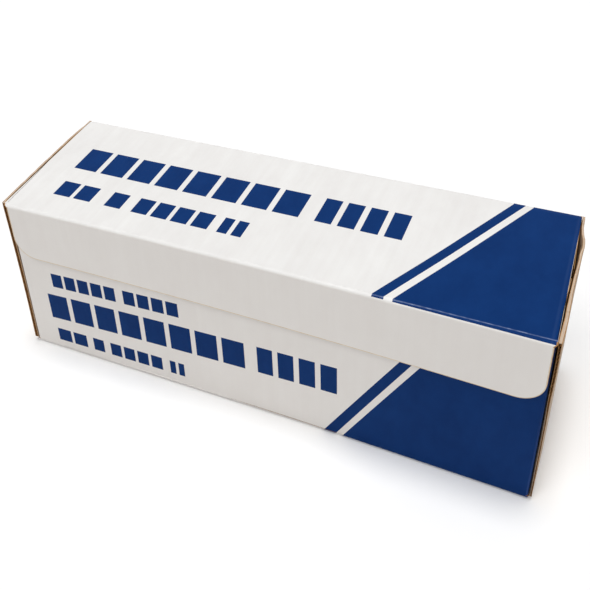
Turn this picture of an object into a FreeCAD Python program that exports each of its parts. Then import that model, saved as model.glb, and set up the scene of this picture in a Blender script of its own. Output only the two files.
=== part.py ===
import FreeCAD, Part
import os
import re
import Sketcher

# Corrugated carton with a hinged lid, holding a wound roll of aluminium foil.
# The origin is the middle of the carton's underside, with the lid's front flap counted in the depth.
# +X runs along the roll, -Y is the front wall's side, +Z is up. All sizes are in millimetres.

SIZES = [
    ("roll_length", 304.8, "width of the foil, 12 inches"),
    ("roll_diameter", 92.0, "outside of the wound foil"),
    ("core_diameter", 38.0, "outside of the card tube, and the wound foil's bore"),
    ("core_wall", 2.0, "thickness of the card tube"),
    ("core_overhang", 1.6, "the card tube stands out this far at each end of the foil"),
    ("core_end_space", 1.8, "between the card tube's end and the dust flaps"),
    ("roll_side_space", 2.4, "between the roll and the front wall, and the roll and the back wall"),
    ("roll_top_space", 20.5, "between the roll and the lid"),
    ("roll_lift", 0.3, "between the roll and the bottom panel"),
    ("board_thickness", 1.6, "one sheet of E-flute corrugated board"),
    ("fold_radius", 1.5, "outside rounding of a folded edge"),
    ("fold_clearance", 0.15, "each mitred edge stands this far from its hinge line"),
    ("end_gap", 1.0, "between a dust flap and the end panel glued over it"),
    ("end_bulge", 1.7, "the end panels bow outwards this far at half their height"),
    ("end_panel_drop", 0.6, "the end panels stop this far below the lid's top face"),
    ("dust_flap_space", 8.0, "between the tips of the two dust flaps of one end"),
    ("dust_flap_lift", 0.6, "between a dust flap's lower edge and the bottom panel"),
    ("lid_seat_gap", 0.3, "between the lid and the walls' upper edges"),
    ("flap_height", 39.5, "front flap, from the lid's top face to its lower edge"),
    ("flap_inset", 2.5, "front flap's ends, in from the lid's ends"),
    ("flap_corner_radius", 14.0, "rounded lower corners of the front flap"),
    ("flap_gap", 0.8, "between the front wall and the front flap"),
    ("blade_inset", 5.6, "steel strip's ends, in from the front wall's ends"),
    ("blade_height", 10.0, "steel strip without its teeth"),
    ("blade_thickness", 0.3, "steel sheet"),
    ("tooth_pitch", 4.0, "from tooth to tooth"),
    ("tooth_height", 2.5, "from root to tip"),
    ("tooth_drop", 1.5, "from the front wall's upper edge down to the tooth tips"),
]

# Places and sizes that follow from the sizes above.
DERIVED = [
    ("core_length", "roll_length + 2 * core_overhang", "card tube"),
    ("wall_width", "core_length + 2 * (core_end_space + board_thickness)", "front wall, back wall and lid"),
    ("carton_width", "wall_width + 2 * (end_gap + board_thickness)", "at the folds of the end panels"),
    ("carton_depth", "roll_diameter + 2 * (roll_side_space + board_thickness)", "outside, wall to wall"),
    ("carton_height", "roll_lift + roll_diameter + roll_top_space + 2 * board_thickness", "over the lid"),
    ("lap_depth", "flap_gap + board_thickness", "how far the front flap stands out from the front wall"),
    ("total_depth", "carton_depth + lap_depth", "front flap's face to back wall's face"),
    ("hinge_place", "total_depth / 2", "back wall's outer face, which holds the lid's hinge line"),
    ("wall_top", "carton_height - board_thickness - lid_seat_gap", "front wall's upper edge"),
    ("dust_flap_reach", "(carton_depth - dust_flap_space) / 2", "length of a dust flap from its fold"),
    ("end_panel_top", "carton_height - end_panel_drop", "above the table"),
    ("roll_axis_height", "board_thickness + roll_lift + roll_diameter / 2", "above the table"),
    ("blade_length", "wall_width - 2 * blade_inset", "steel strip"),
]


def make_sheet(doc):
    sheet = doc.addObject("Spreadsheet::Sheet", "Sizes")
    row = 0
    for name, value, note in SIZES:
        row += 1
        sheet.set("A%d" % row, str(value))
        sheet.setAlias("A%d" % row, name)
        sheet.set("B%d" % row, note)
    for name, formula, note in DERIVED:
        row += 1
        sheet.set("A%d" % row, "=" + formula)
        sheet.setAlias("A%d" % row, name)
        sheet.set("B%d" % row, note)
    doc.recompute()
    return sheet


def cells(formula):
    """Puts the sheet's name before every alias in a formula."""
    return re.sub(r"[a-z_]+", lambda word: "Sizes." + word.group(), formula)


def new_body(doc, name, place_y="0", place_z="0"):
    body = doc.addObject("PartDesign::Body", name)
    body.Label = name
    body.setExpression("Placement.Base.y", cells(place_y))
    body.setExpression("Placement.Base.z", cells(place_z))
    return body


def origin_plane(body, role):
    for feature in body.Origin.OriginFeatures:
        if feature.Role == role:
            return feature
    raise ValueError("no plane with the role " + role)


def new_sketch(body, name, role, offset="0"):
    sketch = body.newObject("Sketcher::SketchObject", name)
    sketch.AttachmentSupport = [(origin_plane(body, role), "")]
    sketch.MapMode = "FlatFace"
    sketch.setExpression("AttachmentOffset.Base.z", cells(offset))
    return sketch


def bind(sketch, constraint, formula):
    """Adds a constraint and ties its value to the sheet."""
    index = sketch.addConstraint(constraint)
    sketch.setExpression("Constraints[%d]" % index, cells(formula))


def value_of(sketch, formula):
    result = sketch.evalExpression(cells(formula))
    return float(getattr(result, "Value", result))


def add_outline(sketch, corners):
    """A closed outline of straight lines. Each corner is a pair of formulas."""
    points = [FreeCAD.Vector(value_of(sketch, u), value_of(sketch, v), 0) for u, v in corners]
    first = sketch.GeometryCount
    count = len(points)
    for i in range(count):
        sketch.addGeometry(Part.LineSegment(points[i], points[(i + 1) % count]), False)
    for i in range(count):
        sketch.addConstraint(Sketcher.Constraint("Coincident", first + i, 2, first + (i + 1) % count, 1))
    for i, (u, v) in enumerate(corners):
        bind(sketch, Sketcher.Constraint("DistanceX", -1, 1, first + i, 1, points[i].x), u)
        bind(sketch, Sketcher.Constraint("DistanceY", -1, 1, first + i, 1, points[i].y), v)


def add_box_outline(sketch, left, right, low, high):
    add_outline(sketch, [(left, low), (right, low), (right, high), (left, high)])


def add_circle(sketch, diameter):
    index = sketch.addGeometry(Part.Circle(FreeCAD.Vector(0, 0, 0), FreeCAD.Vector(0, 0, 1),
                                           value_of(sketch, diameter) / 2), False)
    sketch.addConstraint(Sketcher.Constraint("Coincident", index, 3, -1, 1))
    bind(sketch, Sketcher.Constraint("Diameter", index, value_of(sketch, diameter)), diameter)


def bow_radius(chord):
    """Radius of the arc over this chord that bows out by the end panels' bulge."""
    return "((%s) ^ 2 / 4 + end_bulge ^ 2) / (2 * end_bulge)" % chord


def add_end_panel_outline(sketch):
    """Section of the right end panel: a short foot under the walls, and a bowed upright."""
    foot = "wall_width / 2 - board_thickness"
    outside = "carton_width / 2"
    inside = "carton_width / 2 - board_thickness"
    corners = [
        (foot, "0"),
        (outside, "0"),
        (outside, "end_panel_top"),
        (inside, "end_panel_top"),
        (inside, "board_thickness"),
        (foot, "board_thickness"),
    ]
    points = [FreeCAD.Vector(value_of(sketch, u), value_of(sketch, v), 0) for u, v in corners]
    bulge = FreeCAD.Vector(value_of(sketch, "end_bulge"), 0, 0)
    sketch.addGeometry([
        Part.LineSegment(points[0], points[1]),
        Part.Arc(points[1], (points[1] + points[2]) * 0.5 + bulge, points[2]),
        Part.LineSegment(points[2], points[3]),
        Part.Arc(points[4], (points[3] + points[4]) * 0.5 + bulge, points[3]),
        Part.LineSegment(points[4], points[5]),
        Part.LineSegment(points[5], points[0]),
    ], False)
    joins = [
        ((0, 2), (1, 1)),
        ((1, 2), (2, 1)),
        ((2, 2), (3, 2)),
        ((3, 1), (4, 1)),
        ((4, 2), (5, 1)),
        ((5, 2), (0, 1)),
    ]
    for one, other in joins:
        sketch.addConstraint(Sketcher.Constraint("Coincident", one[0], one[1], other[0], other[1]))
    corner_ends = [(0, 1), (0, 2), (2, 1), (2, 2), (4, 1), (5, 1)]
    for (line, end), (u, v), point in zip(corner_ends, corners, points):
        bind(sketch, Sketcher.Constraint("DistanceX", -1, 1, line, end, point.x), u)
        bind(sketch, Sketcher.Constraint("DistanceY", -1, 1, line, end, point.y), v)
    for arc, chord in ((1, "end_panel_top"), (3, "end_panel_top - board_thickness")):
        radius = bow_radius(chord)
        bind(sketch, Sketcher.Constraint("Radius", arc, value_of(sketch, radius)), radius)


def pad(body, sketch, name, length, symmetric=False):
    feature = body.newObject("PartDesign::Pad", name)
    feature.Profile = sketch
    feature.setExpression("Length", cells(length))
    if symmetric:
        feature.SideType = "Symmetric"
    return feature


def mirror(body, original, name):
    feature = body.newObject("PartDesign::Mirrored", name)
    feature.Originals = [original]
    feature.MirrorPlane = (origin_plane(body, "YZ_Plane"), [""])
    body.Tip = feature
    return feature


def straight_edges(shape, wanted):
    """Names of the straight edges whose middle point and direction pass the test."""
    names = []
    for i, edge in enumerate(shape.Edges):
        if edge.Curve.TypeId != "Part::GeomLine":
            continue
        ends = [vertex.Point for vertex in edge.Vertexes]
        direction = (ends[1] - ends[0]).normalize()
        if wanted((ends[0] + ends[1]) * 0.5, direction):
            names.append("Edge%d" % (i + 1))
    return names


def fillet(body, base, name, radius, wanted):
    """Rounds the straight edges of the feature that pass the test."""
    body.Document.recompute()
    names = straight_edges(base.Shape, wanted)
    if not names:
        raise ValueError("no edge to round for " + name)
    feature = body.newObject("PartDesign::Fillet", name)
    feature.Base = (base, names)
    feature.setExpression("Radius", cells(radius))
    return feature


def near(a, b):
    return abs(a - b) < 0.01


def carton_base(doc, sheet):
    """Bottom, front and back walls, dust flaps and end panels: one folded and glued blank.
    Its own zero is on the back wall's outer face, at the table."""
    body = new_body(doc, "carton_base", "hinge_place")
    trough = new_sketch(body, "trough_section", "YZ_Plane")
    add_outline(trough, [
        ("0", "0"),
        ("0", "carton_height - fold_clearance"),
        ("-board_thickness", "carton_height - fold_clearance - board_thickness"),
        ("-board_thickness", "board_thickness"),
        ("board_thickness - carton_depth", "board_thickness"),
        ("board_thickness - carton_depth", "wall_top"),
        ("-carton_depth", "wall_top"),
        ("-carton_depth", "0"),
    ])
    pad(body, trough, "bottom_and_walls", "wall_width", symmetric=True)

    flaps = new_sketch(body, "dust_flap_outline", "YZ_Plane", "wall_width / 2 - board_thickness")
    low = "board_thickness + dust_flap_lift"
    in_back_wall = "-board_thickness / 2"
    in_front_wall = "board_thickness / 2 - carton_depth"
    add_box_outline(flaps, "-dust_flap_reach", in_back_wall, low, "wall_top")
    add_box_outline(flaps, in_front_wall, "dust_flap_reach - carton_depth", low, "wall_top")
    dust_flaps = pad(body, flaps, "dust_flaps", "board_thickness")
    both_dust_flaps = mirror(body, dust_flaps, "dust_flaps_both_ends")

    half_width = sheet.wall_width / 2

    def outer_fold(middle, direction):
        across = near(middle.y, 0) or near(middle.y, -sheet.carton_depth)
        lengthwise = near(abs(direction.x), 1) and near(middle.z, 0)
        upright = near(abs(direction.z), 1) and near(abs(middle.x), half_width)
        return across and (lengthwise or upright)

    folded = fillet(body, both_dust_flaps, "rounded_wall_folds", "fold_radius", outer_fold)

    panel = new_sketch(body, "end_panel_section", "XZ_Plane", "carton_depth / 2")
    add_end_panel_outline(panel)
    end_panel = pad(body, panel, "end_panel", "carton_depth - 2 * fold_radius", symmetric=True)
    both_end_panels = mirror(body, end_panel, "end_panels")
    end_face = sheet.carton_width / 2

    def end_fold(middle, direction):
        return near(abs(direction.y), 1) and near(abs(middle.x), end_face) and near(middle.z, 0)

    end_fold_radius = "board_thickness + end_gap / 2"
    body.Tip = fillet(body, both_end_panels, "rounded_end_folds", end_fold_radius, end_fold)
    return body


def carton_lid(doc):
    """Top panel, mitred at its hinge line and at the front flap's fold.
    Its own zero is on the hinge line, in the lid's top face."""
    body = new_body(doc, "carton_lid", "hinge_place", "carton_height")
    section = new_sketch(body, "lid_section", "YZ_Plane")
    add_outline(section, [
        ("-fold_clearance", "0"),
        ("-fold_clearance - board_thickness", "-board_thickness"),
        ("fold_clearance + board_thickness - total_depth", "-board_thickness"),
        ("fold_clearance - total_depth", "0"),
    ])
    body.Tip = pad(body, section, "lid_panel", "wall_width", symmetric=True)
    return body


def lid_front_flap(doc, sheet):
    """Flap that hangs from the lid over the front wall.
    Its own zero is on its fold line, in the flap's outer face."""
    body = new_body(doc, "lid_front_flap", "-total_depth / 2", "carton_height")
    section = new_sketch(body, "flap_section", "YZ_Plane")
    add_outline(section, [
        ("0", "-fold_clearance"),
        ("board_thickness", "-fold_clearance - board_thickness"),
        ("board_thickness", "-flap_height"),
        ("0", "-flap_height"),
    ])
    panel = pad(body, section, "flap_panel", "wall_width - 2 * flap_inset", symmetric=True)
    lower_edge = -sheet.flap_height

    def lower_corner(middle, direction):
        return near(abs(direction.y), 1) and near(middle.z, lower_edge)

    body.Tip = fillet(body, panel, "rounded_flap_corners", "flap_corner_radius", lower_corner)
    return body


def cutter_blade(doc, sheet):
    """Serrated strip on the outside of the front wall, teeth up.
    Its own zero is on the front wall's outer face, at the roots of the teeth."""
    roots_height = "wall_top - tooth_drop - tooth_height"
    body = new_body(doc, "cutter_blade", "hinge_place - carton_depth", roots_height)
    strip = new_sketch(body, "strip_outline", "XZ_Plane")
    add_box_outline(strip, "-blade_length / 2", "blade_length / 2", "-blade_height", "0")
    pad(body, strip, "strip", "blade_thickness")

    tooth = new_sketch(body, "tooth_outline", "XZ_Plane")
    count = int(sheet.blade_length / sheet.tooth_pitch + 0.001)
    left = "-%d * tooth_pitch / 2" % count
    add_outline(tooth, [
        (left, "0"),
        (left + " + tooth_pitch", "0"),
        (left + " + tooth_pitch / 2", "tooth_height"),
    ])
    one_tooth = pad(body, tooth, "tooth", "blade_thickness")
    teeth = body.newObject("PartDesign::LinearPattern", "teeth")
    teeth.Originals = [one_tooth]
    teeth.Direction = (tooth, ["H_Axis"])
    teeth.Mode = "Spacing"
    teeth.setExpression("Offset", cells("tooth_pitch"))
    teeth.Occurrences = count
    body.Tip = teeth
    return body


def tube(doc, name, outer, inner, length):
    """A hollow cylinder along X, centred over the bottom panel. Its own zero is on its axis."""
    body = new_body(doc, name, "hinge_place - carton_depth / 2", "roll_axis_height")
    ring = new_sketch(body, name + "_ring", "YZ_Plane")
    add_circle(ring, outer)
    add_circle(ring, inner)
    body.Tip = pad(body, ring, name + "_length", length, symmetric=True)
    return body


def check_and_export(doc, bodies):
    doc.recompute()
    for thing in doc.Objects:
        if "Invalid" in thing.State or "Error" in thing.State:
            raise RuntimeError(thing.Name + " did not build")
    for body in bodies:
        if body.Shape.isNull() or not body.Shape.isValid():
            raise RuntimeError(body.Name + " has no valid shape")
    os.makedirs("parts", exist_ok=True)
    for body in bodies:
        body.Shape.exportStep("parts/%s.step" % body.Label)
        box = body.Shape.BoundBox
        print("%-16s solids %d volume %.1f x %.2f..%.2f y %.2f..%.2f z %.2f..%.2f" % (
            body.Label, len(body.Shape.Solids), body.Shape.Volume,
            box.XMin, box.XMax, box.YMin, box.YMax, box.ZMin, box.ZMax))


def main():
    doc = FreeCAD.newDocument("foil_carton")
    sheet = make_sheet(doc)
    bodies = [
        carton_base(doc, sheet),
        carton_lid(doc),
        lid_front_flap(doc, sheet),
        cutter_blade(doc, sheet),
        tube(doc, "foil_roll", "roll_diameter", "core_diameter", "roll_length"),
        tube(doc, "core_tube", "core_diameter", "core_diameter - 2 * core_wall", "core_length"),
    ]
    check_and_export(doc, bodies)


main()
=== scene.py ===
"""The looks of a boxed aluminium foil roll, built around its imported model.

Sizes and flat nets are in millimetres. A place function turns a point of a net, and a depth
into the board from its outer face, into a point of the row frame in metres.
"""

import math

import bmesh
import bpy
from mathutils import Matrix, Vector, noise
from mathutils.geometry import delaunay_2d_cdt


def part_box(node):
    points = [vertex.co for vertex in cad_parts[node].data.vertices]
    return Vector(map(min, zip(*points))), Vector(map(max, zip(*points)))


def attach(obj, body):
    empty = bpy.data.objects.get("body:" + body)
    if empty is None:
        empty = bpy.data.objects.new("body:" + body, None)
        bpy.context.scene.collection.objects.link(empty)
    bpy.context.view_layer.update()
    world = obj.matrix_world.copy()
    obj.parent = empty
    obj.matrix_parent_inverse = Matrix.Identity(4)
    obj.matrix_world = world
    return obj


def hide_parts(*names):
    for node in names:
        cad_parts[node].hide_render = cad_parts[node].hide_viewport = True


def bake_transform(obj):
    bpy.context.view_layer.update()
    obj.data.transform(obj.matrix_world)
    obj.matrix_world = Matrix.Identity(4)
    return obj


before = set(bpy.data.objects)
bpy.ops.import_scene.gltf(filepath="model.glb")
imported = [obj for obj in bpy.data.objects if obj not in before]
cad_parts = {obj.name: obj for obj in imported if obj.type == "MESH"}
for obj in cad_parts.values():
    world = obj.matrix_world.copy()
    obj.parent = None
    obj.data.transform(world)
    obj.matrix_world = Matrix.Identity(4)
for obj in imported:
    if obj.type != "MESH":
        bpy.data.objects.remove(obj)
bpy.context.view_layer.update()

MM = 0.001


def box_mm(node):
    low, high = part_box(node)
    return low / MM, high / MM


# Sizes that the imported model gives
BASE_LOW, BASE_HIGH = box_mm("carton_base")
LID_LOW, LID_HIGH = box_mm("carton_lid")
FLAP_LOW, FLAP_HIGH = box_mm("lid_front_flap")
BLADE_LOW, BLADE_HIGH = box_mm("cutter_blade")
ROLL_LOW, ROLL_HIGH = box_mm("foil_roll")
CORE_LOW, CORE_HIGH = box_mm("core_tube")
BOARD = LID_HIGH.z - LID_LOW.z
WALL_HALF = LID_HIGH.x
FLAP_HALF = FLAP_HIGH.x
FRONT = BASE_LOW.y
BACK = BASE_HIGH.y
FLAP_FACE = FLAP_LOW.y
TOP = LID_HIGH.z

# Sizes of the board's folds and bows. In a pair, 1 is the right side and -1 the left
SEAT_GAP = 0.3
WALL_TOP = LID_LOW.z - SEAT_GAP
LID_FOLD = 1.9
BOTTOM_FOLD = 2.4
CORNER_FOLD = 1.8
END_FOLD = 2.1
END_GAP = 1.0
END_FACE = WALL_HALF + END_GAP + BOARD
END_SWELL = {1: 0.0, -1: -0.7}
LOW_SHIFT = 0.7
END_TOP = TOP - 0.6
DUST_REACH = 46.0
DUST_DROP = 5.0
DUST_SLOPE = 6
PUSH_BOTTOM, PUSH_MIDDLE, PUSH_TOP = 1.5, 2.2, 1.7
LEFT_PULL_BACK, LEFT_PULL_MORE, RIGHT_PULL_BACK = 0.6, 1.4, 1.1
FLAP_DROP = 0.4
FLAP_TAPER = 1.1
FLAP_ARCH = 2.2
FLAP_CORNER = 14.0
NUB = 0.7
FLAP_SLANT = 0.25
FLAP_WIDER = 1.4
WALL_TUCK = {1: 0.3, -1: 1.1}
CLOSED_GAP = 0.05
LOWER_CUT = 3.0
LOWER_CUT_HIGH = LOWER_CUT * 1.4

# Make-up of the corrugated board, and how finely it is divided
LINER = 0.26
FLUTE_PITCH = 3.2
FLUTE_STEPS = 6
MEDIUM = 0.22
GRID = 7.0
BEND_STEPS = 8
FOLD_STEPS = 9

# Numbers of the papers in a piece's list of materials
WHITE, NAVY, KRAFT, EDGE, FLUTES, RIM = range(6)


def front_push(x, y, z):
    """How far the front of the carton is pushed in at a point, most at mid-length."""
    along = max(0.0, 1 - (x / WALL_HALF) ** 2)
    forward = min(1.0, max(0.0, -y / -FRONT))
    share = z / TOP
    rise = 4 * PUSH_MIDDLE - 3 * PUSH_BOTTOM - PUSH_TOP
    curve = 2 * PUSH_BOTTOM + 2 * PUSH_TOP - 4 * PUSH_MIDDLE
    amount = PUSH_BOTTOM + rise * share + curve * share ** 2
    return along * forward ** 2 * (3 - 2 * forward) * amount


def end_pull(x, y):
    """How far the top of an end is drawn in: most at the left end's front and the right end's back."""
    forward = min(1.0, max(0.0, 0.5 - y / 100))
    if x < 0:
        return LEFT_PULL_BACK + LEFT_PULL_MORE * forward
    return RIGHT_PULL_BACK * (1 - forward)


def row(x, y, z):
    """A point of the carton in millimetres, with its bows and leans, as a point of the row frame."""
    high = z / TOP
    lean = LOW_SHIFT * (1 - high) - end_pull(x, y) * high * x / WALL_HALF
    return Vector((x + lean, y + front_push(x, y, z), z)) * MM


def smooth(value, low, high):
    """A value from low to high as a share that eases in and out."""
    share = min(1.0, max(0.0, (value - low) / (high - low)))
    return share * share * (3 - 2 * share)


def end_lean(side, y, z):
    """How far an end panel stands out at a point. side is 1 at the right and -1 at the left.
    The right panel's top spreads and is dented behind its middle, tucks in towards the lid before
    it, and is pressed in at its front corner."""
    middle = (END_TOP + END_FOLD) / 2
    high = z / END_TOP
    swell = END_SWELL[side] * max(0.0, 1 - ((z - middle) / (END_TOP - middle)) ** 2)
    if side < 0:
        closing = (END_GAP - CLOSED_GAP) * smooth(y, BACK - 24.0, BACK)
        return swell - closing + 0.5 * high ** 4 * (1 - (y / BACK) ** 2)
    corner_out, tuck_in, tuck_less, dent_out = 0.8, 0.6, 0.4, 0.5
    low_in, low_front_in, press_in = 0.25, 0.65, 0.7
    closing = (END_GAP - CLOSED_GAP) * smooth(y, 22.0, BACK - 5.0)
    spread = end_pull(side, y) * (1 - smooth(y, 28.0, 44.0)) * high
    corner = corner_out * smooth(-y, 5.0, 40.0) * smooth(z, 65.0, 100.0) * (1 - high ** 8)
    tucked = tuck_in * smooth(-y, -15.0, 5.0) - tuck_less * smooth(-y, 22.0, 40.0)
    tucked *= high ** 8
    dent = dent_out * smooth(8.0 - abs(y - 27.0), 0.0, 5.0) * high ** 8
    drawn_in = (low_in + low_front_in * smooth(-y, 10.0, 40.0)) * (1 - high ** 4)
    pressed = press_in * smooth(-y, 30.0, -FRONT) * smooth(z, 55.0, 95.0)
    return swell - closing + spread + corner + dent - tucked - drawn_in - pressed


class Path:
    """A section line of straight runs and quarter bends to the left. Depth is measured to the left.
    Each part is where along the line it begins, its length, its first spot, its heading and its
    radius."""

    def __init__(self, start, heading):
        self.spot = Vector(start)
        self.heading = Vector(heading)
        self.length = 0.0
        self.parts = []

    def run(self, length):
        self.parts.append((self.length, length, self.spot.copy(), self.heading.copy(), 0.0))
        self.spot += self.heading * length
        self.length += length
        return self

    def bend(self, radius):
        length = radius * math.pi / 2
        self.parts.append((self.length, length, self.spot.copy(), self.heading.copy(), radius))
        left = Vector((-self.heading.y, self.heading.x))
        self.spot += (self.heading + left) * radius
        self.heading = left
        self.length += length
        return self

    def at(self, s, depth):
        """The spot at a length along the path, and at a depth to its left."""
        reached = [part for part in self.parts if part[0] <= s + 1e-6 or part[0] == 0]
        begin, _, spot, heading, radius = reached[-1]
        left = Vector((-heading.y, heading.x))
        if radius == 0:
            return spot + heading * (s - begin) + left * depth
        angle = (s - begin) / radius
        arm = heading * math.sin(angle) - left * math.cos(angle)
        return spot + left * radius + arm * (radius - depth)

    def begin(self, part):
        return self.parts[part][0]

    def bend_stations(self):
        """Lengths along the path at which the bends are divided."""
        found = []
        for begin, length, _, _, radius in self.parts:
            if radius:
                found += [begin + length * k / BEND_STEPS for k in range(BEND_STEPS + 1)]
        return found


class Shell:
    """The points and faces of one piece, each face with the number of its material."""

    def __init__(self):
        self.points = []
        self.faces = []
        self.kinds = []

    def add(self, points, faces, kinds):
        first = len(self.points)
        self.points += points
        self.faces += [tuple(first + k for k in face) for face in faces]
        self.kinds += kinds

    def slab(self, near, far, kinds):
        """A closed slab between two grids of points. kinds are those of its near face, far face
        and rim."""
        rows, columns = len(near), len(near[0])
        points = [p for line in near for p in line] + [p for line in far for p in line]
        other = rows * columns
        faces, marks = [], []
        for i in range(rows - 1):
            for j in range(columns - 1):
                a = i * columns + j
                quad = (a, a + 1, a + columns + 1, a + columns)
                faces += [quad, tuple(other + k for k in reversed(quad))]
                marks += kinds[:2]
        rim = [i * columns for i in range(rows)]
        rim += [(rows - 1) * columns + j for j in range(1, columns)]
        rim += [i * columns + columns - 1 for i in range(rows - 2, -1, -1)]
        rim += list(range(columns - 2, 0, -1))
        for a, b in zip(rim, rim[1:] + rim[:1]):
            faces.append((a, b, other + b, other + a))
            marks.append(kinds[2])
        self.add(points, faces, marks)

    def piece(self, name, materials, slot, crease=40):
        """The finished piece, with sharp edges past an angle in degrees."""
        mesh = bpy.data.meshes.new(name)
        mesh.from_pydata(self.points, [], self.faces)
        for material in materials:
            mesh.materials.append(material)
        mesh.polygons.foreach_set("material_index", self.kinds)
        work = bmesh.new()
        work.from_mesh(mesh)
        bmesh.ops.recalc_face_normals(work, faces=work.faces)
        work.to_mesh(mesh)
        work.free()
        mesh.shade_smooth()
        mesh.set_sharp_from_angle(angle=math.radians(crease))
        piece = bpy.data.objects.new(name, mesh)
        bpy.context.scene.collection.objects.link(piece)
        return piece


def inside(point, polygon):
    """Whether a point of the net is inside a polygon of it."""
    found = False
    for a, b in zip(polygon, polygon[1:] + polygon[:1]):
        if (a[1] > point[1]) != (b[1] > point[1]):
            if point[0] < a[0] + (b[0] - a[0]) * (point[1] - a[1]) / (b[1] - a[1]):
                found = not found
    return found


def divided(polygon, step):
    """A polygon with its long sides divided."""
    points = []
    for a, b in zip(polygon, polygon[1:] + polygon[:1]):
        a, b = Vector(a), Vector(b)
        parts = max(1, math.ceil((b - a).length / step))
        points += [a.lerp(b, k / parts) for k in range(parts)]
    return points


def shrunk(polygon, amount):
    """A convex polygon, counted to the left, moved in from its sides."""
    corners = [Vector(p) for p in polygon]
    found = []
    for k, corner in enumerate(corners):
        before = (corner - corners[k - 1]).normalized()
        after = (corners[(k + 1) % len(corners)] - corner).normalized()
        inward = Vector((-before.y - after.y, before.x + after.x)).normalized()
        share = inward.dot(Vector((-before.y, before.x)))
        found.append(corner + inward * amount / share)
    return found


def rectangle(u0, v0, u1, v1):
    return [(u0, v0), (u1, v0), (u1, v1), (u0, v1)]


def liner(shell, outline, place, near, far, kinds, fields=(), lines=()):
    """A closed paper layer between two depths. kinds are those of its near face, far face and rim.
    fields are polygons of the near face with a kind of their own, and lines are kept as edges."""
    points = []
    edges = []
    for polygon in [outline] + [f[0] for f in fields]:
        ring = divided(polygon, GRID)
        first = len(points)
        edges += [(first + k, first + (k + 1) % len(ring)) for k in range(len(ring))]
        points += ring
    for line in lines:
        edges.append((len(points), len(points) + 1))
        points += [Vector(line[0]), Vector(line[1])]
    u0, u1 = min(p[0] for p in outline), max(p[0] for p in outline)
    v0, v1 = min(p[1] for p in outline), max(p[1] for p in outline)
    columns, rows = math.ceil((u1 - u0) / GRID), math.ceil((v1 - v0) / (2 * GRID))
    for i in range(1, columns):
        for j in range(1, rows):
            spot = (u0 + (u1 - u0) * i / columns, v0 + (v1 - v0) * j / rows)
            if inside(spot, outline):
                points.append(Vector(spot))
    flat, _, triangles = delaunay_2d_cdt(points, edges, [], 1, 1e-5)[:3]
    faces = [tuple(t) for t in triangles]
    marks = []
    for face in faces:
        middle = sum((flat[k] for k in face), Vector((0, 0))) / len(face)
        found = [kind for polygon, kind in fields if inside(middle, polygon)]
        marks.append(found[-1] if found else kinds[0])
    sides = dict.fromkeys(pair for face in faces for pair in zip(face, face[1:] + face[:1]))
    rim = [(a, b) for a, b in sides if (b, a) not in sides]
    other = len(flat)
    faces_far = [tuple(other + k for k in reversed(face)) for face in faces]
    faces_rim = [(b, a, other + a, other + b) for a, b in rim]
    solid = [place(p.x, p.y, near) for p in flat] + [place(p.x, p.y, far) for p in flat]
    marks += [kinds[1]] * len(faces) + [kinds[2]] * len(rim)
    shell.add(solid, faces + faces_far + faces_rim, marks)


def medium(shell, place, wave_range, tunnel_at, tunnel_steps, swap=False, extra=()):
    """The fluted sheet between the liners. It waves along one net axis over wave_range, and its
    tunnels run along the other. swap makes v the waved axis, and extra are more places on a tunnel."""
    start, end = wave_range
    count = math.ceil((end - start) / FLUTE_PITCH * FLUTE_STEPS)
    middle = BOARD / 2
    height = middle - LINER - MEDIUM / 2 - 0.01
    near, far = [], []
    for i in range(count + 1):
        a = start + (end - start) * i / count
        depth = middle - height * math.cos(2 * math.pi * (a - start) / FLUTE_PITCH)
        low, high = tunnel_at(a)
        stations = sorted([low + (high - low) * j / tunnel_steps for j in range(tunnel_steps + 1)]
                          + [s for s in extra if low < s < high])
        spots = [(b, a) if swap else (a, b) for b in stations]
        near.append([place(u, v, depth - MEDIUM / 2) for u, v in spots])
        far.append([place(u, v, depth + MEDIUM / 2) for u, v in spots])
    shell.slab(near, far, [FLUTES] * 3)


def board(shell, outline, place, fields=(), lines=(), face=WHITE, rim=EDGE):
    """The two liners of a corrugated panel. face is the kind of paper that shows outside."""
    liner(shell, outline, place, 0.0, LINER, [face, EDGE, rim], fields, lines)
    liner(shell, outline, place, BOARD - LINER, BOARD, [EDGE, KRAFT, EDGE], (), lines)


# Printed shapes, in the plane of the lid (x, y) and of the front wall (x, z)
# Each stripe has its two sides and the end field's side, where the line of a mark crosses them
LID_STRIPE_BACK, LID_STRIPE_FRONT = (122.9, 129.0, 133.4), (70.8, 76.8, 81.3)
LID_BACK_MARK, LID_FRONT_MARK = 51.2, -48.6
FRONT_STRIPE_HIGH, FRONT_STRIPE_LOW = (87.7, 94.0, 98.3), (44.9, 52.0, 56.1)
HIGH_MARK, LOW_MARK = 76.5, 2.5
CORNER_WRAP = 5.0


def diagonal_fields(far_mark, far_places, near_mark, near_places, far, near, right):
    """The navy stripe and the navy end field between two lines of a panel, as polygons of (x, mark)."""
    def at(index, mark):
        share = (mark - far_mark) / (near_mark - far_mark)
        return far_places[index] + (near_places[index] - far_places[index]) * share

    stripe = [(at(0, far), far), (at(1, far), far), (at(1, near), near), (at(0, near), near)]
    field = [(at(2, far), far), (right, far), (right, near), (at(2, near), near)]
    return [stripe, field]


def block_row(words, low, high, slope=0.0, gap=2.6):
    """Plain print blocks in a row. words are (start, end, number of blocks)."""
    blocks = []
    origin = words[0][0]
    for start, end, count in words:
        width = (end - start + gap) / count
        for k in range(count):
            x0 = start + k * width
            x1 = x0 + width - gap
            lift0, lift1 = slope * (x0 - origin), slope * (x1 - origin)
            blocks.append([(x0, low + lift0), (x1, low + lift1),
                           (x1, high + lift1), (x0, high + lift0)])
    return blocks


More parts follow.
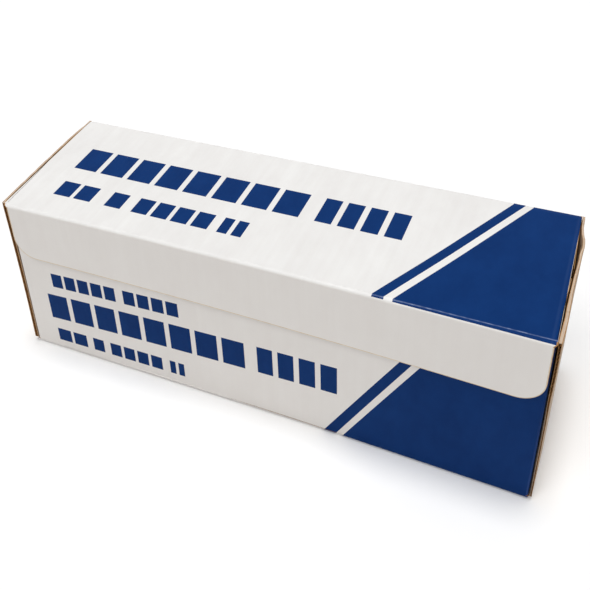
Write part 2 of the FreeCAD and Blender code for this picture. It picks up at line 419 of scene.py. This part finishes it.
LID_BLOCKS = block_row([(-137.0, 14.0, 8), (23.5, 73.0, 4)], -2.6, 20.0, gap=3.4)
LID_BLOCKS += block_row([(-134.0, -108.0, 2), (-98.0, -87.0, 1), (-79.6, -30.0, 4),
                         (-24.0, -9.0, 2)], -31.5, -17.0)
FRONT_BLOCKS = block_row([(-135.0, -88.7, 5), (-83.0, -45.4, 4)], 55.0, 66.0, 0.034, 1.9)
FRONT_BLOCKS += block_row([(-141.0, -4.0, 8), (4.0, 52.0, 4)], 27.0, 47.5, 0.036, 3.2)
FRONT_BLOCKS += block_row([(-139.0, -117.0, 2), (-112.0, -104.0, 1), (-99.0, -61.5, 4),
                           (-56.0, -46.0, 2)], 7.5, 18.0, 0.01, 2.0)


# Materials
def srgb(red, green, blue):
    """A screen colour from 0 to 255 as linear light, with full alpha."""
    shares = [c / 255 for c in (red, green, blue)]
    return [c / 12.92 if c <= 0.04045 else ((c + 0.055) / 1.055) ** 2.4 for c in shares] + [1.0]


class Paint:
    """A node material in the making."""

    def __init__(self, name, roughness, specular=0.5, metallic=0.0):
        self.material = bpy.data.materials.new(name)
        self.material.use_nodes = True
        self.tree = self.material.node_tree
        self.shader = self.tree.nodes["Principled BSDF"]
        self.shader.inputs["Roughness"].default_value = roughness
        self.shader.inputs["Specular IOR Level"].default_value = specular
        self.shader.inputs["Metallic"].default_value = metallic
        self.place = self.tree.nodes.new("ShaderNodeTexCoord").outputs["Object"]
        self.axes = self.node("ShaderNodeSeparateXYZ", {0: self.place})

    def node(self, kind, inputs, **settings):
        made = self.tree.nodes.new(kind)
        for key, value in settings.items():
            setattr(made, key, value)
        for key, value in inputs.items():
            if isinstance(value, bpy.types.NodeSocket):
                self.tree.links.new(value, made.inputs[key])
            else:
                made.inputs[key].default_value = value
        return made

    def noise(self, scale, detail=4.0, stretch=(1.0, 1.0, 1.0), roughness=0.6):
        """Noise of about 1/scale metres, drawn out along an axis where stretch is below 1."""
        spot = self.node("ShaderNodeMapping", {"Vector": self.place, "Scale": stretch})
        made = self.node("ShaderNodeTexNoise", {"Vector": spot.outputs[0], "Scale": scale,
                                                "Detail": detail, "Roughness": roughness})
        return made.outputs[0]

    def math(self, operation, a, b=0.0):
        return self.node("ShaderNodeMath", {0: a, 1: b}, operation=operation).outputs[0]

    def ramp(self, value, low, high, to_low=0.0, to_high=1.0):
        """A value from low to high spread over to_low to to_high, and held outside."""
        inputs = {"Value": value, "From Min": low, "From Max": high,
                  "To Min": to_low, "To Max": to_high}
        return self.node("ShaderNodeMapRange", inputs).outputs[0]

    def mix(self, factor, a, b):
        return self.node("ShaderNodeMix", {0: factor, 6: a, 7: b}, data_type="RGBA").outputs[2]

    def band(self, axis, at, half_width, soft):
        """1 on a band about a coordinate in millimetres, and 0 away from it."""
        away = self.math("ABSOLUTE", self.math("SUBTRACT", self.axes.outputs[axis], at * MM))
        return self.ramp(away, half_width * MM, (half_width + soft) * MM, 1.0, 0.0)

    def beyond(self, axis, at, soft=0.2):
        """1 above a coordinate in millimetres."""
        return self.ramp(self.axes.outputs[axis], (at - soft) * MM, (at + soft) * MM)

    def both(self, *masks):
        found = masks[0]
        for mask in masks[1:]:
            found = self.math("MULTIPLY", found, mask)
        return found

    def flute_shade(self, axis, depth):
        """A value about 1 that rises and falls a little with the flutes under the paper."""
        turn = self.math("MULTIPLY", self.axes.outputs[axis], 2 * math.pi / (FLUTE_PITCH * MM))
        return self.ramp(self.math("SINE", turn), -1.0, 1.0, 1.0 - depth, 1.0)

    def finish(self, colour, height, distance, roughness=None):
        """The material with its colour, its bump of a distance in metres, and its roughness."""
        self.tree.links.new(colour, self.shader.inputs["Base Color"])
        if roughness is not None:
            self.tree.links.new(roughness, self.shader.inputs["Roughness"])
        bump = self.node("ShaderNodeBump", {"Height": height, "Distance": distance, "Strength": 1.0})
        self.tree.links.new(bump.outputs[0], self.shader.inputs["Normal"])
        return self.material


def white_board():
    """Coated white paper over flutes, a little mottled, with painted shade of the flutes as faint
    darker streaks and a painted warm tint of bounced light below the lid.
    """
    paint = Paint("white_coated_board", 0.42, 0.35)
    mottle = paint.noise(60, 5, (1.0, 0.5, 0.5))
    fine = paint.noise(900, 3)
    colour = paint.mix(paint.ramp(mottle, 0.3, 0.7), srgb(233, 231, 229), srgb(241, 240, 238))
    # Faint darker streaks along the flutes: painted shade of the washboarded board
    painted_flute_shade = paint.noise(260, 2, (1.0, 0.03, 0.03))
    shaded = paint.mix(paint.ramp(painted_flute_shade, 0.35, 0.65, 0.0, 0.22), colour, srgb(228, 224, 221))
    # Below the lid, the walls and flap get a painted warm tint of light bounced onto them
    painted_warm_bounce = paint.mix(0.5, shaded, srgb(240, 232, 224))
    shaded = paint.mix(paint.beyond(2, TOP - 1.2, 0.6), painted_warm_bounce, shaded)
    height = paint.math("ADD", paint.math("MULTIPLY", fine, 0.35), paint.flute_shade(0, 0.35))
    return paint.finish(shaded, height, 0.00005)


def navy_print():
    """Navy ink on the coated paper, rubbed pale on the creases, and with a painted highlight down the
    front wall's rounded right corner.
    """
    paint = Paint("navy_print", 0.55, 0.05)
    mottle = paint.noise(90, 6, (1.0, 0.6, 0.6))
    fine = paint.noise(1500, 3)
    colour = paint.mix(paint.ramp(mottle, 0.3, 0.7), srgb(7, 46, 101), srgb(12, 53, 111))
    colour = paint.mix(paint.ramp(fine, 0.55, 0.8, 0.0, 0.25), colour, srgb(28, 64, 126))
    gaps = paint.ramp(paint.noise(700, 5, (0.5, 1.0, 1.0)), 0.42, 0.66, 0.3, 1.0)
    lid = paint.beyond(2, TOP - 0.5)
    front_line = paint.both(paint.band(1, FLAP_FACE + LID_FOLD + 0.9, 0.12, 0.4), lid, gaps)
    colour = paint.mix(paint.math("MULTIPLY", front_line, 0.75), colour, srgb(150, 165, 200))
    back_line = paint.both(paint.band(1, BACK - LID_FOLD - 0.6, 0.2, 0.6), lid)
    side_line = paint.both(paint.band(0, WALL_HALF - 2.4, 0.2, 0.8), lid)
    rubbed = paint.math("MULTIPLY", paint.math("MAXIMUM", back_line, side_line), 0.05)
    colour = paint.mix(rubbed, colour, srgb(110, 130, 175))
    # A lighter band down the front wall's right fold: a painted highlight of the rounded corner
    corner = paint.both(paint.band(0, WALL_HALF - 0.1, 0.2, 0.4), paint.math("SUBTRACT", 1.0, lid))
    colour = paint.mix(paint.math("MULTIPLY", corner, 0.4), colour, srgb(70, 100, 165))
    height = paint.math("ADD", paint.math("MULTIPLY", fine, 0.3), paint.flute_shade(0, 0.3))
    return paint.finish(colour, height, 0.00005)


def kraft(name, dark, light, fleck, scale=120):
    """Brown paper with fibres and flecks."""
    paint = Paint(name, 0.85, 0.15)
    cloud = paint.noise(scale, 6)
    colour = paint.mix(paint.ramp(cloud, 0.3, 0.7), dark, light)
    fibres = paint.ramp(paint.noise(700, 4, (0.25, 1.0, 1.0)), 0.58, 0.75, 0.0, 0.5)
    colour = paint.mix(fibres, colour, fleck)
    return paint.finish(colour, paint.noise(1200, 4), 0.00008)


def foil_metal():
    """Rolled foil with a soft sheen, the fine lines of rolling and a few soft dents."""
    paint = Paint("rolled_foil", 0.6, 0.5, 1.0)
    lines = paint.noise(900, 4, (0.02, 1.0, 1.0))
    colour = paint.mix(paint.ramp(lines, 0.3, 0.7), srgb(162, 165, 169), srgb(190, 193, 196))
    dents = paint.noise(45, 3, (0.6, 1.0, 1.0))
    height = paint.math("ADD", paint.math("MULTIPLY", dents, 2.5), paint.math("MULTIPLY", lines, 0.3))
    return paint.finish(colour, height, 0.0003, paint.ramp(dents, 0.3, 0.7, 0.56, 0.66))


def core_card():
    """Wound grey-brown card with the slanted seam of its winding."""
    seam_pitch = 60.0
    paint = Paint("wound_card", 0.85, 0.15)
    cloud = paint.noise(150, 6)
    colour = paint.mix(paint.ramp(cloud, 0.3, 0.7), srgb(158, 136, 110), srgb(181, 159, 131))
    height = paint.math("SUBTRACT", paint.axes.outputs[2], (CORE_LOW.z + CORE_HIGH.z) / 2 * MM)
    width = paint.math("SUBTRACT", paint.axes.outputs[1], (CORE_LOW.y + CORE_HIGH.y) / 2 * MM)
    turn = paint.math("DIVIDE", paint.math("ARCTAN2", height, width), 2 * math.pi)
    along = paint.math("ADD", paint.math("MULTIPLY", paint.axes.outputs[0], 1000 / seam_pitch), turn)
    away = paint.math("ABSOLUTE", paint.math("SUBTRACT", paint.math("FRACT", along), 0.5))
    seam = paint.ramp(away, 0.485, 0.498)
    colour = paint.mix(paint.math("MULTIPLY", seam, 0.7), colour, srgb(98, 78, 56))
    return paint.finish(colour, paint.noise(900, 4), 0.0001)


def blade_steel():
    """Thin stamped steel, brushed along its length."""
    paint = Paint("stamped_steel", 0.35, 0.5, 1.0)
    brush = paint.noise(1400, 3, (0.03, 1.0, 1.0))
    colour = paint.mix(paint.ramp(brush, 0.3, 0.7), srgb(168, 170, 174), srgb(206, 208, 211))
    return paint.finish(colour, brush, 0.00004)


PAPERS = [
    white_board(),
    navy_print(),
    kraft("kraft_face", srgb(197, 174, 152), srgb(211, 190, 168), srgb(168, 141, 114)),
    kraft("kraft_cut_edge", srgb(152, 107, 60), srgb(188, 142, 92), srgb(112, 76, 40), 300),
    kraft("kraft_flutes", srgb(122, 83, 44), srgb(152, 108, 62), srgb(92, 60, 32), 300),
    kraft("bare_paper_rim", srgb(222, 200, 170), srgb(236, 220, 196), srgb(200, 172, 138), 400),
]


# Carton base: walls with their dust flaps, bottom and end panels
def wall_path(front):
    """The plan line of a long wall with a dust flap at each end."""
    start = (-WALL_HALF, FRONT + DUST_REACH) if front else (WALL_HALF, BACK - DUST_REACH)
    path = Path(start, (0, -1) if front else (0, 1))
    path.run(DUST_REACH - CORNER_FOLD).bend(CORNER_FOLD)
    path.run(2 * (WALL_HALF - CORNER_FOLD)).bend(CORNER_FOLD)
    return path.run(DUST_REACH - CORNER_FOLD)


def make_wall(name, front):
    """A long wall with its two dust flaps, which lie behind the end panels."""
    path = wall_path(front)
    wall_begin = path.begin(2)
    flap_length = path.begin(1)
    unprinted = flap_length + 0.5 * CORNER_FOLD
    tuck_begin = WALL_HALF - 9.0

    def place(u, v, depth):
        x, y = path.at(u, depth)
        reach = max(flap_length - u, u - (path.length - flap_length), 0.0) / flap_length
        side = 1 if x > 0 else -1
        spring = (END_GAP - 0.15 + 0.9 * end_lean(side, 0.0, v)) * reach ** 2
        if front:
            tuck = WALL_TUCK[side] * smooth(abs(x), tuck_begin, WALL_HALF - BOARD)
            spring -= tuck * smooth(v, -5.0, 25.0)
        return row(x + side * spring, y, v)

    def net(x, z):
        return (wall_begin + x + WALL_HALF - CORNER_FOLD, z)

    def top_at(u):
        beyond = max(flap_length - u, u - (path.length - flap_length), 0.0)
        return WALL_TOP - DUST_DROP * smooth(beyond, 0.0, DUST_SLOPE)

    fields = [(rectangle(0, BOTTOM_FOLD, unprinted, TOP), KRAFT),
              (rectangle(path.length - unprinted, BOTTOM_FOLD, path.length, TOP), KRAFT)]
    if front:
        prints = diagonal_fields(HIGH_MARK, FRONT_STRIPE_HIGH, LOW_MARK, FRONT_STRIPE_LOW,
                                 WALL_TOP, BOTTOM_FOLD, WALL_HALF + CORNER_WRAP)
        fields += [([net(*p) for p in polygon], NAVY) for polygon in prints + FRONT_BLOCKS]
    shell = Shell()
    lines = [((u, BOTTOM_FOLD), (u, WALL_TOP)) for u in path.bend_stations()]
    slope = [flap_length - k for k in range(DUST_SLOPE + 1)]
    tops = [0.0] + slope[::-1] + [path.length - u for u in slope] + [path.length]
    outline = [(0.0, BOTTOM_FOLD), (path.length, BOTTOM_FOLD)]
    outline += [(u, top_at(u)) for u in reversed(tops)]
    board(shell, outline, place, fields, lines)
    inset = 0.05
    medium(shell, place, (inset, path.length - inset),
           lambda a: (BOTTOM_FOLD, top_at(a) - inset), 8)
    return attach(shell.piece(name, PAPERS, "board"), "base")


def make_bottom():
    """The bottom with the folds to both long walls. The end panels' folds are their own."""
    path = Path((FRONT, BOTTOM_FOLD), (0, -1))
    path.bend(BOTTOM_FOLD).run(BACK - FRONT - 2 * BOTTOM_FOLD).bend(BOTTOM_FOLD)
    flat_begin, flat_end = path.begin(1), path.begin(2)
    narrow, wide = WALL_HALF - 0.1, END_FACE - END_FOLD

    def place(u, v, depth):
        return row(u, *path.at(v, depth))

    outline = [(-narrow, 0), (narrow, 0), (narrow, flat_begin), (wide, flat_begin), (wide, flat_end),
               (narrow, flat_end), (narrow, path.length), (-narrow, path.length), (-narrow, flat_end),
               (-wide, flat_end), (-wide, flat_begin), (-narrow, flat_begin)]
    printed = flat_begin
    fields = [(rectangle(-narrow, 0, narrow, printed), WHITE)]
    for polygon in diagonal_fields(HIGH_MARK, FRONT_STRIPE_HIGH, LOW_MARK, FRONT_STRIPE_LOW,
                                   BOTTOM_FOLD, BOTTOM_FOLD - printed, narrow):
        fields.append(([(x, BOTTOM_FOLD - z) for x, z in polygon], NAVY))
    fields.append((rectangle(-narrow, path.length - printed, narrow, path.length), WHITE))
    lines = [((-narrow, v), (narrow, v)) for v in path.bend_stations()]
    shell = Shell()
    board(shell, outline, place, fields, lines, KRAFT)
    medium(shell, place, (-narrow + 0.05, narrow - 0.05), lambda a: (0, path.length), 6,
           extra=path.bend_stations()[1:-1])
    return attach(shell.piece("carton_bottom", PAPERS, "board"), "base")


def end_span(v, front, back):
    """From where to where an end panel's flutes run at a height of its net. Its lower corners
    are cut."""
    inset = 0.08 + LOWER_CUT * max(0.0, 1 - v / LOWER_CUT_HIGH)
    return front + inset, back - inset


def make_end(name, side):
    """An end panel with its fold from the bottom. side is 1 at the right and -1 at the left."""
    path = Path((END_FACE - END_FOLD, 0), (1, 0))
    path.bend(END_FOLD).run(END_TOP - END_FOLD)
    pinched = 6.0
    front_pinched = 4.0

    # crush brings the papers to the board's middle, and thin draws them to its outer face
    def place(u, v, depth):
        near_top = max(0.0, 1 - (path.length - v) / pinched) ** 2
        near_front = max(0.0, 1 - (u - FRONT) / front_pinched)
        crush = 0.15 * near_top
        thin = -0.5 * near_front
        if side > 0:
            crush = (0.1 + 0.3 * smooth(u, 10.0, BACK) - 0.6 * smooth(-u, 0.0, 40.0)) * near_top
            thin = (0.6 - 0.4 * smooth(v, 60.0, 95.0)) * near_front
            thin += 0.15 * near_top * (1 - near_front) * (1 - smooth(u, 20.0, 40.0))
        x, z = path.at(v, (depth + (BOARD / 2 - depth) * crush) * (1 - thin))
        dent = 0.3 * max(0.0, noise.noise(Vector((0.12 * u, 0.06 * z, 5.0 * side)))) * z / END_TOP
        drop = 0.4 * max(0.0, noise.noise(Vector((0.15 * u, 3.0 * side, 0.7)))) * (z / END_TOP) ** 8
        return row(side * (x + end_lean(side, u, z) - dent), u, z - drop)

    shell = Shell()
    front, back = FRONT + 0.1, BACK - 0.1
    low_front, low_back = front + LOWER_CUT, back - LOWER_CUT
    outline = [(low_front, 0), (low_back, 0), (back, LOWER_CUT_HIGH), (back, path.length),
               (front, path.length), (front, LOWER_CUT_HIGH)]
    columns, rows, top_rows = 40, 15, 6
    spots = [front + 0.1 + (back - front - 0.2) * k / columns for k in range(columns + 1)]
    first = END_FOLD * 2
    levels = [first + (path.length - pinched - first) * k / rows for k in range(1, rows)]
    levels += [path.length - pinched * k / top_rows for k in range(1, top_rows + 1)]
    bends = path.bend_stations()
    lines = [((front, v), (back, v)) for v in bends[3:] + levels if v > LOWER_CUT_HIGH]
    lines += [((u, LOWER_CUT_HIGH), (u, path.length)) for u in spots[2:-2]]
    lines += [((low_front, v), (low_back, v)) for v in bends if 0 < v < LOWER_CUT_HIGH]
    board(shell, outline, place, (), lines, KRAFT)
    medium(shell, place, (0.05, path.length - 0.7), lambda a: end_span(a, front, back), columns,
           swap=True)
    # A strip between the papers closes the flutes along the panel's top edge
    cap = (path.length - 0.6, path.length - 0.03)
    near, far = [[[place(u, v, depth) for u in spots] for v in cap]
                 for depth in (LINER, BOARD - LINER)]
    shell.slab(near, far, [KRAFT] * 3)
    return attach(shell.piece(name, PAPERS, "board"), "base")


# Lid, its hinge fold, and its front flap
def lid_path():
    """The section line from the back wall's top, over the lid and down the flap."""
    path = Path((BACK, TOP - LID_FOLD), (0, 1))
    path.bend(LID_FOLD).run(BACK - FLAP_FACE - 2 * LID_FOLD).bend(LID_FOLD)
    return path.run(TOP - LID_FOLD - FLAP_LOW.z + FLAP_DROP + FLAP_TAPER)


LID_PATH = lid_path()
HINGE_BEGIN, LID_BEGIN, FOLD_BEGIN, FLAP_BEGIN = (LID_PATH.begin(k) for k in range(4))
LID_WAVES = (-WALL_HALF + 0.1, WALL_HALF - 0.1)


def lid_net(x, y):
    """The net point of a place on the lid's face."""
    return (x, LID_BEGIN + BACK - LID_FOLD - y)


def lid_place(u, v, depth):
    return row(u, *LID_PATH.at(v, depth))


def make_lid():
    """The lid's flat panel, with a rim of bare paper at its two cut ends."""
    back, front = BACK - LID_FOLD, FLAP_FACE + LID_FOLD
    polygons = diagonal_fields(LID_BACK_MARK, LID_STRIPE_BACK, LID_FRONT_MARK, LID_STRIPE_FRONT,
                               back, front, WALL_HALF) + LID_BLOCKS
    fields = [([lid_net(*p) for p in polygon], NAVY) for polygon in polygons]
    rim = 0.15
    for u in (-WALL_HALF, WALL_HALF - rim):
        fields.append((rectangle(u, LID_BEGIN, u + rim, FOLD_BEGIN), RIM))
    shell = Shell()
    board(shell, rectangle(-WALL_HALF, LID_BEGIN, WALL_HALF, FOLD_BEGIN), lid_place, fields)
    medium(shell, lid_place, LID_WAVES, lambda a: (LID_BEGIN, FOLD_BEGIN), 8)
    lid = shell.piece("carton_lid_panel", PAPERS, "lid_board")
    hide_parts("carton_lid")
    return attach(lid, "lid")


def fold_strip(name, begin, end, end_half, printed):
    """A rounded fold from the length begin to end of the lid's path, narrowing to end_half.
    printed is the share of it that carries the lid's navy print, from the lid's side."""
    forward = begin == FOLD_BEGIN

    def place(u, v, depth):
        share = (v - begin) / (end - begin)
        wider = FLAP_WIDER if forward and u > 0 else 0.0
        half = WALL_HALF + (end_half + wider - WALL_HALF) * share
        half += NUB * math.sin(math.pi * share) if forward else 0.0
        dent = 0.22 * max(0.0, noise.noise(Vector((0.22 * u, 9.0, begin)))) * math.sin(math.pi * share)
        spot = LID_PATH.at(v, depth + dent)
        return row(u * half / WALL_HALF, *spot)

    edge_mark = FLAP_FACE + LID_FOLD if forward else BACK - LID_FOLD
    polygons = diagonal_fields(LID_BACK_MARK, LID_STRIPE_BACK, LID_FRONT_MARK, LID_STRIPE_FRONT,
                               edge_mark, edge_mark, WALL_HALF)
    reach = (end - begin) * printed
    v0, v1 = (begin, begin + reach) if forward else (end - reach, end)
    fields = [([(p[0], v) for p, v in zip(polygon, (v0, v0, v1, v1))], NAVY) for polygon in polygons]
    fields += [(rectangle(u, begin, u + NUB, end), EDGE) for u in (-WALL_HALF, WALL_HALF - NUB)]
    stations = [begin + (end - begin) * k / FOLD_STEPS for k in range(FOLD_STEPS + 1)]
    lines = [((-WALL_HALF, v), (WALL_HALF, v)) for v in stations]
    spacing = 2
    count = round(2 * WALL_HALF / spacing)
    spots = [-WALL_HALF + 2 * WALL_HALF * k / count for k in range(1, count)]
    lines += [((u, begin), (u, end)) for u in spots]
    shell = Shell()
    board(shell, rectangle(-WALL_HALF, begin, WALL_HALF, end), place, fields, lines)
    medium(shell, place, LID_WAVES, lambda a: (begin, end), FOLD_STEPS)
    return shell.piece(name, PAPERS, "lid_board")


def make_folds():
    """The rounded fold between back wall and lid, and the one between lid and flap."""
    hinge = fold_strip("lid_hinge_fold", HINGE_BEGIN, LID_BEGIN, WALL_HALF, 0.6)
    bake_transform(hinge)
    front = fold_strip("lid_front_fold", FOLD_BEGIN, FLAP_BEGIN, FLAP_HALF, 0.55)
    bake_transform(front)


def clipped(polygon, top):
    """A polygon with nothing above a height of its net."""
    return [Vector((p.x, min(p.y, top))) for p in polygon]


def make_flap():
    """The lid's front flap, with a tapering and arched lower edge and rounded lower corners."""
    top = TOP - LID_FOLD

    def low_edge(x):
        share = x / FLAP_HALF
        edge = FLAP_LOW.z - FLAP_DROP - FLAP_TAPER * x / FLAP_HALF + FLAP_ARCH * (1 - share ** 2)
        inset = FLAP_CORNER - (FLAP_HALF - abs(x))
        if inset > 0:
            edge += FLAP_CORNER - math.sqrt(max(0.0, FLAP_CORNER ** 2 - inset ** 2))
        return edge

    def place(u, v, depth):
        spread = FLAP_SLANT * depth / BOARD
        down = spread * (top - v) / (top - FLAP_LOW.z)
        wider = FLAP_WIDER if u > 0 else 0.0
        return row(u * (1 + (spread + wider) / FLAP_HALF), FLAP_FACE + depth, v - down)

    turns = [math.sin(math.radians(a)) for a in range(0, 91, 6)]
    right = [FLAP_HALF - FLAP_CORNER + FLAP_CORNER * t for t in turns]
    below = [(-x, low_edge(-x)) for x in reversed(right)]
    below += [(x, low_edge(x)) for x in right]
    outline = below + [(FLAP_HALF, top), (-FLAP_HALF, top)]
    rim, above = 0.5, 1
    white = shrunk(below + [(FLAP_HALF, top + above), (-FLAP_HALF, top + above)], rim)
    fields = [(outline, RIM), (clipped(white, top), WHITE)]
    shell = Shell()
    board(shell, outline, place, fields, rim=RIM)
    inset = 0.12
    medium(shell, place, (-FLAP_HALF + inset, FLAP_HALF - inset),
           lambda a: (low_edge(a) + inset, top), 4)
    flap = shell.piece("front_flap_panel", PAPERS, "flap_board")
    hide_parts("lid_front_flap")
    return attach(flap, "flap")


# Cutter blade and foil roll
def make_blade():
    """The toothed strip on the front wall, which follows the wall's bow."""
    tooth, root_drop, low_band = 4.0, 2.5, 3.0
    count = round((BLADE_HIGH.x - BLADE_LOW.x) / (tooth / 2))
    near, far = [], []
    for k in range(count + 1):
        x = BLADE_LOW.x + (BLADE_HIGH.x - BLADE_LOW.x) * k / count
        tip = BLADE_HIGH.z - (root_drop if k % 2 == 0 else 0.0)
        heights = [BLADE_LOW.z, BLADE_LOW.z + low_band, BLADE_HIGH.z - root_drop - 1.0, tip]
        near.append([row(x, BLADE_LOW.y, z) for z in heights])
        far.append([row(x, BLADE_HIGH.y, z) for z in heights])
    shell = Shell()
    shell.slab(near, far, [0, 0, 0])
    blade = shell.piece("cutter_blade_strip", [blade_steel()], "steel", 30)
    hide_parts("cutter_blade")
    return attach(blade, "base")


def make_roll():
    """The wound foil: turns show on its end faces, and its loose edge makes a low step along it.
    It is turned about its own middle from a closed outline of (x, radius)."""
    outer = (ROLL_HIGH.z - ROLL_LOW.z) / 2
    bore = (CORE_HIGH.z - CORE_LOW.z) / 2
    middle = (ROLL_HIGH + ROLL_LOW) / 2
    half = ROLL_HIGH.x
    rings, spans, around = 26, 60, 96
    step, crumple, uneven = 0.25, 0.12, 0.3
    outline = [(-half, bore + (outer - bore) * k / rings) for k in range(rings)]
    outline += [(-half + 2 * half * k / spans, outer) for k in range(spans + 1)]
    outline += [(half, bore + (outer - bore) * k / rings) for k in range(rings - 1, -1, -1)]
    points, faces = [], []
    for x, radius in outline:
        for k in range(around):
            share = k / around
            angle = math.radians(60) + 2 * math.pi * share
            reach = radius
            if radius == outer:
                soft = abs(noise.noise(Vector((0.05 * x, 2.4 * share, 1.0))))
                reach -= step * share + crumple * soft
            inset = 0.0
            if abs(x) == half and radius < outer:
                inset = uneven * abs(noise.noise(Vector((radius * 1.7, 4.0 * share, x))))
            y = middle.y + reach * math.cos(angle)
            z = middle.z + reach * math.sin(angle)
            points.append(Vector((x - math.copysign(inset, x), y, z)) * MM)
    loops = len(outline)
    for i in range(loops):
        for k in range(around):
            here, after = i * around, (i + 1) % loops * around
            turn = (k + 1) % around
            faces.append((here + k, here + turn, after + turn, after + k))
    shell = Shell()
    shell.add(points, faces, [0] * len(faces))
    roll = shell.piece("wound_foil", [foil_metal()], "foil", 30)
    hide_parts("foil_roll")
    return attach(roll, "base")


def make_carton():
    """Every piece. The core tube keeps the CAD's form and gets its material here."""
    front = make_wall("front_wall_and_dust_flaps", True)
    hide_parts("carton_base")
    make_wall("back_wall_and_dust_flaps", False)
    make_bottom()
    make_end("right_end_panel", 1)
    make_end("left_end_panel", -1)
    make_lid()
    make_folds()
    make_flap()
    make_blade()
    make_roll()
    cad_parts["core_tube"].material_slots[0].material = core_card()


# Floor, light and camera
def make_floor():
    """A white table that shows the carton's soft shadow."""
    half = 5.0
    mesh = bpy.data.meshes.new("floor")
    corners = [(x, y, 0) for x, y in rectangle(-half, -half, half, half)]
    mesh.from_pydata(corners, [], [(0, 1, 2, 3)])
    floor = bpy.data.objects.new("floor", mesh)
    bpy.context.scene.collection.objects.link(floor)
    material = bpy.data.materials.new("white_table")
    material.use_nodes = True
    nodes, links = material.node_tree.nodes, material.node_tree.links
    nodes.remove(nodes["Principled BSDF"])
    diffuse = nodes.new("ShaderNodeBsdfDiffuse")
    links.new(seen_strength(nodes, links, 1.0, FLOOR_PALE), diffuse.inputs["Color"])
    glow = nodes.new("ShaderNodeEmission")
    links.new(seen_strength(nodes, links, FLOOR_GLOW, 0.0), glow.inputs["Strength"])
    together = nodes.new("ShaderNodeAddShader")
    links.new(diffuse.outputs[0], together.inputs[0])
    links.new(glow.outputs[0], together.inputs[1])
    links.new(together.outputs[0], nodes["Material Output"].inputs["Surface"])
    mesh.materials.append(material)


def seen_strength(nodes, links, seen, unseen):
    """A strength for what the camera, a reflection or a view through glass sees, and one for the
    rest."""
    path = nodes.new("ShaderNodeLightPath")
    ray = path.outputs["Is Camera Ray"]
    for other in ("Is Glossy Ray", "Is Transmission Ray"):
        either = nodes.new("ShaderNodeMath")
        either.operation = "MAXIMUM"
        links.new(ray, either.inputs[0])
        links.new(path.outputs[other], either.inputs[1])
        ray = either.outputs[0]
    strength = nodes.new("ShaderNodeMapRange")
    links.new(ray, strength.inputs["Value"])
    strength.inputs["To Min"].default_value = unseen
    strength.inputs["To Max"].default_value = seen
    return strength.outputs[0]


FLOOR_PALE = 0.8
FLOOR_GLOW = 0.02
SKY_LIGHT = 0.29
# Each lamp's name, strength, width in degrees and the direction it shines from
LAMPS = (
    ("overhead_key", 1.57, 17.0, (0.0, 0.03, 1.0)),
    ("side_key", 0.66, 24.0, (-0.2, -0.5, 1.0)),
    ("front_fill", 0.27, 30.0, (-0.2, -1.0, 0.55)),
)
CAMERA_PLACE = (0.15898, -0.36261, 0.41334)
CAMERA_AZIMUTH, CAMERA_ELEVATION, CAMERA_ROLL = 29.589, 33.952, -5.798
CAMERA_LENS = 52.949
CAMERA_SHIFT = (0.161, -0.2119)


def make_light():
    """A white sky and three soft lamps."""
    world = bpy.data.worlds.new("studio")
    bpy.context.scene.world = world
    world.use_nodes = True
    nodes, links = world.node_tree.nodes, world.node_tree.links
    background = nodes["Background"]
    background.inputs["Color"].default_value = (1.0, 1.0, 1.0, 1.0)
    links.new(seen_strength(nodes, links, 1.0, SKY_LIGHT), background.inputs["Strength"])
    for name, strength, width, source in LAMPS:
        lamp = bpy.data.lights.new(name, "SUN")
        lamp.energy = strength
        lamp.angle = math.radians(width)
        holder = bpy.data.objects.new(name, lamp)
        holder.rotation_euler = Vector(source).to_track_quat("Z", "Y").to_euler()
        bpy.context.scene.collection.objects.link(holder)


def make_camera():
    """The camera that was solved from the photograph's six visible corners."""
    data = bpy.data.cameras.new("camera")
    data.lens = CAMERA_LENS
    data.sensor_width = 36.0
    data.shift_x, data.shift_y = CAMERA_SHIFT
    camera = bpy.data.objects.new("camera", data)
    turn = Matrix.Rotation(math.radians(CAMERA_AZIMUTH), 4, "Z")
    tilt = Matrix.Rotation(math.radians(90 - CAMERA_ELEVATION), 4, "X")
    roll = Matrix.Rotation(math.radians(CAMERA_ROLL), 4, "Z")
    camera.matrix_world = Matrix.Translation(CAMERA_PLACE) @ turn @ tilt @ roll
    bpy.context.scene.collection.objects.link(camera)
    bpy.context.scene.camera = camera


make_carton()
make_floor()
make_light()
make_camera()
bpy.context.scene.view_settings.view_transform = "Standard"
